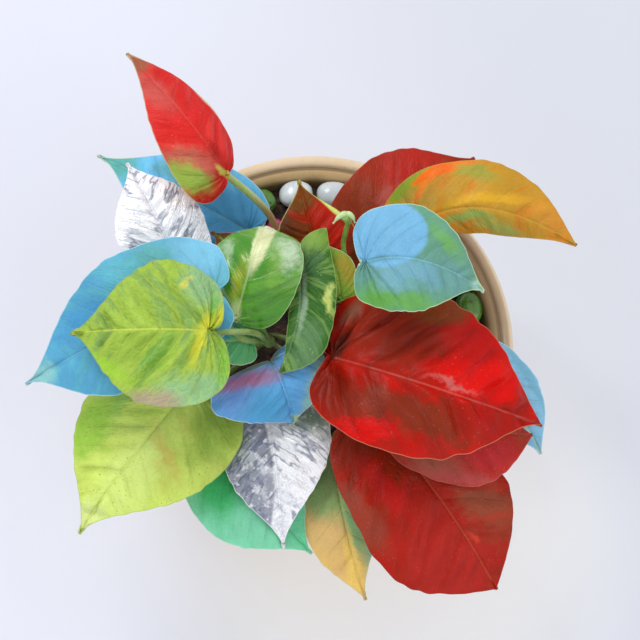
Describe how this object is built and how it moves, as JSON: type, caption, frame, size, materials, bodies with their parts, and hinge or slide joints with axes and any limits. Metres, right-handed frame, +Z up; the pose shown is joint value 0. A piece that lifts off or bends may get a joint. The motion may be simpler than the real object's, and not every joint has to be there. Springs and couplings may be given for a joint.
{
  "type": "potted pothos plant",
  "caption": "Bushy heart-leaved house plant with blades in many colours on arching stalks, growing in a squat round pot filled with soil and topped with pebbles.",
  "frame": {"origin": "centre of the pot's flat base, on the surface that it stands on", "axes": "+Z up the pot's axis; +X to the right and +Y away from a viewer who looks down on the plant from its front"},
  "size_m": [0.1974, 0.1906, 0.1808],
  "materials": {
    "pot_glaze": "satin cream glaze",
    "soil": "dark crumbly potting soil",
    "pebble_white": "smooth painted pebble",
    "pebble_plum": "smooth painted pebble",
    "pebble_green": "smooth painted pebble",
    "pebble_pink": "smooth painted pebble",
    "green_stem": "pale green living stem, slightly glossy",
    "leaf_red_spear": "thin satin leaf with side veins",
    "leaf_blue_back": "thin satin leaf with side veins",
    "leaf_silver_left": "crinkled silver foil paint on a leaf",
    "leaf_blue_left": "thin satin leaf with side veins",
    "leaf_lime_heart": "thin satin leaf with side veins",
    "leaf_lime_front": "thin satin leaf with side veins",
    "leaf_teal_small": "thin satin leaf with side veins",
    "leaf_blue_front": "thin satin leaf with side veins",
    "leaf_variegated": "thin satin leaf with side veins",
    "leaf_grey_green": "thin satin leaf with side veins",
    "leaf_yellow_small": "thin satin leaf with side veins",
    "leaf_dark_red_point": "thin satin leaf with side veins",
    "leaf_dark_red_back": "thin satin leaf with side veins",
    "leaf_orange": "thin satin leaf with side veins",
    "leaf_blue_heart": "thin satin leaf with side veins",
    "leaf_big_red": "thin satin leaf with side veins",
    "leaf_red_low": "thin satin leaf with side veins",
    "leaf_rose": "thin satin leaf with side veins",
    "leaf_pale_blue": "thin satin leaf with side veins",
    "leaf_silver_front": "crinkled silver foil paint on a leaf",
    "leaf_emerald": "thin satin leaf with side veins",
    "leaf_ochre": "thin satin leaf with side veins",
    "leaf_brown_red": "thin satin leaf with side veins"
  },
  "bodies": {
    "root": {"pot": "pot_glaze", "soil": "soil", "pebble_white_1": "pebble_white", "pebble_white_2": "pebble_white", "pebble_plum_3": "pebble_plum", "pebble_green_4": "pebble_green", "pebble_white_5": "pebble_white", "pebble_plum_6": "pebble_plum", "pebble_green_7": "pebble_green", "pebble_plum_8": "pebble_plum", "pebble_white_9": "pebble_white", "pebble_pink_10": "pebble_pink", "pebble_white_11": "pebble_white", "pebble_green_12": "pebble_green", "pebble_white_13": "pebble_white", "pebble_plum_14": "pebble_plum", "pebble_white_15": "pebble_white", "pebble_pink_16": "pebble_pink", "pebble_white_17": "pebble_white", "pebble_green_18": "pebble_green", "pebble_white_19": "pebble_white", "pebble_white_20": "pebble_white", "pebble_plum_21": "pebble_plum", "pebble_white_22": "pebble_white", "pebble_green_23": "pebble_green", "pebble_pink_24": "pebble_pink", "pebble_plum_25": "pebble_plum", "pebble_green_26": "pebble_green", "pebble_white_27": "pebble_white", "pebble_pink_28": "pebble_pink", "pebble_plum_29": "pebble_plum", "pebble_green_30": "pebble_green", "vine_left": "green_stem", "vine_back": "green_stem", "vine_right": "green_stem", "vine_front": "green_stem", "leaf_red_spear": "leaf_red_spear", "leaf_blue_back": "leaf_blue_back", "leaf_silver_left": "leaf_silver_left", "leaf_blue_left": "leaf_blue_left", "leaf_lime_heart": "leaf_lime_heart", "leaf_lime_front": "leaf_lime_front", "leaf_teal_small": "leaf_teal_small", "leaf_blue_front": "leaf_blue_front", "leaf_variegated": "leaf_variegated", "leaf_grey_green": "leaf_grey_green", "leaf_yellow_small": "leaf_yellow_small", "leaf_dark_red_point": "leaf_dark_red_point", "leaf_dark_red_back": "leaf_dark_red_back", "leaf_orange": "leaf_orange", "leaf_blue_heart": "leaf_blue_heart", "leaf_big_red": "leaf_big_red", "leaf_red_low": "leaf_red_low", "leaf_rose": "leaf_rose", "leaf_pale_blue": "leaf_pale_blue", "leaf_silver_front": "leaf_silver_front", "leaf_emerald": "leaf_emerald", "leaf_ochre": "leaf_ochre", "leaf_brown_red": "leaf_brown_red"}
  },
  "joints": []
}
